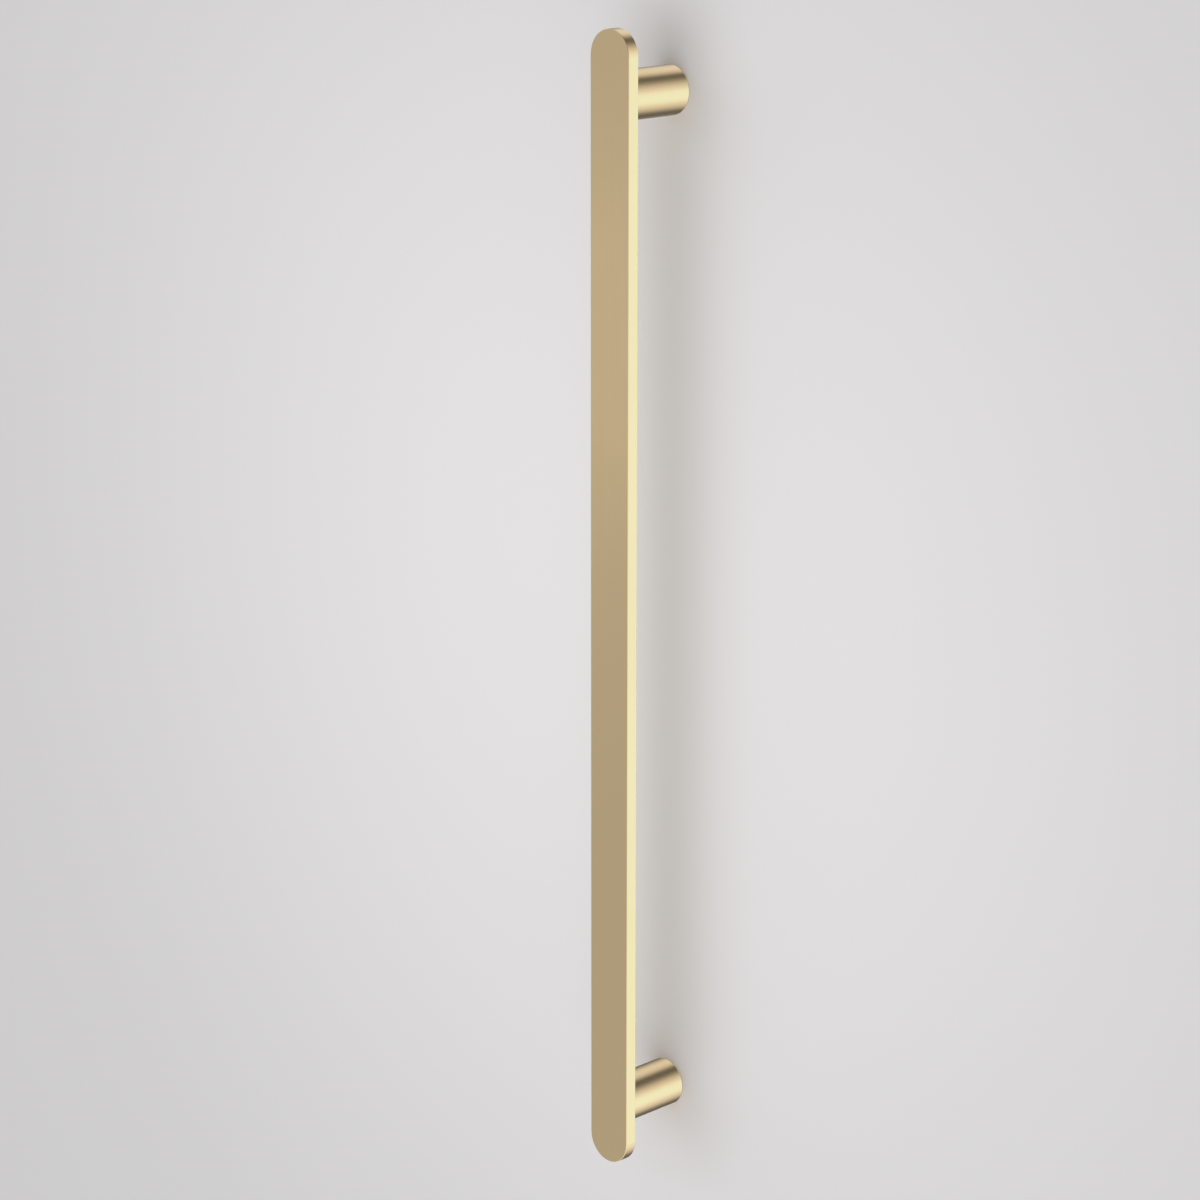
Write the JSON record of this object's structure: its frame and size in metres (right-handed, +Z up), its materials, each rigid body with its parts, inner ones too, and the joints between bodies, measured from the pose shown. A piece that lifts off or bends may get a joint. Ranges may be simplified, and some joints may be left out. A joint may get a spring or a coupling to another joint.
{
  "type": "heated towel rail",
  "caption": "Vertical heated towel rail: a slim flat bar with full-radius ends in satin brass, held off the wall by round posts, with a heating cable inside.",
  "frame": {"origin": "on the wall plane, midway between the two posts, at the centre of the wall screw pattern", "axes": "+Z up along the bar, +Y into the wall, +X to the right as seen from the room"},
  "size_m": [0.04, 0.065, 0.8998],
  "materials": {
    "brushed_brass": "fine lengthwise brushing, satin",
    "turned_brass": "bright turned",
    "brass_screw": "satin",
    "zinc_steel": "zinc plated",
    "blackened_steel": "black oxide",
    "spring_steel": "bright rolled strip",
    "cutout_case": "drawn can",
    "tinned_crimp": "tin plated",
    "terminal_moulding": "moulded",
    "grommet_rubber": "moulded",
    "element_sheath": "extruded silicone",
    "active_insulation": "extruded silicone",
    "neutral_insulation": "extruded silicone",
    "earth_insulation": "extruded silicone, striped yellow"
  },
  "bodies": {
    "root": {"bar_pan": "brushed_brass", "back_plate": "brushed_brass", "upper_post": "brushed_brass", "lower_post": "brushed_brass", "upper_wall_spigot": "turned_brass", "lower_wall_spigot": "turned_brass", "terminal_inserts": "turned_brass", "back_plate_screws": "brass_screw", "upper_nut_plate": "zinc_steel", "lower_nut_plate": "zinc_steel", "upper_nipple": "zinc_steel", "lower_nipple": "zinc_steel", "upper_clamp_nut": "zinc_steel", "lower_clamp_nut": "zinc_steel", "upper_washer": "zinc_steel", "terminal_carrier": "zinc_steel", "terminal_clamp_screws": "zinc_steel", "terminal_fixing_screws": "zinc_steel", "earth_screw": "zinc_steel", "upper_grub_screw": "blackened_steel", "lower_grub_screw": "blackened_steel", "element_clips": "spring_steel", "thermal_cutout": "cutout_case", "neutral_splice": "tinned_crimp", "earth_lug": "tinned_crimp", "terminal_block": "terminal_moulding", "cable_grommet": "grommet_rubber", "heating_cable": "element_sheath", "active_lead": "active_insulation", "neutral_lead": "neutral_insulation", "earth_lead": "earth_insulation"}
  },
  "joints": []
}
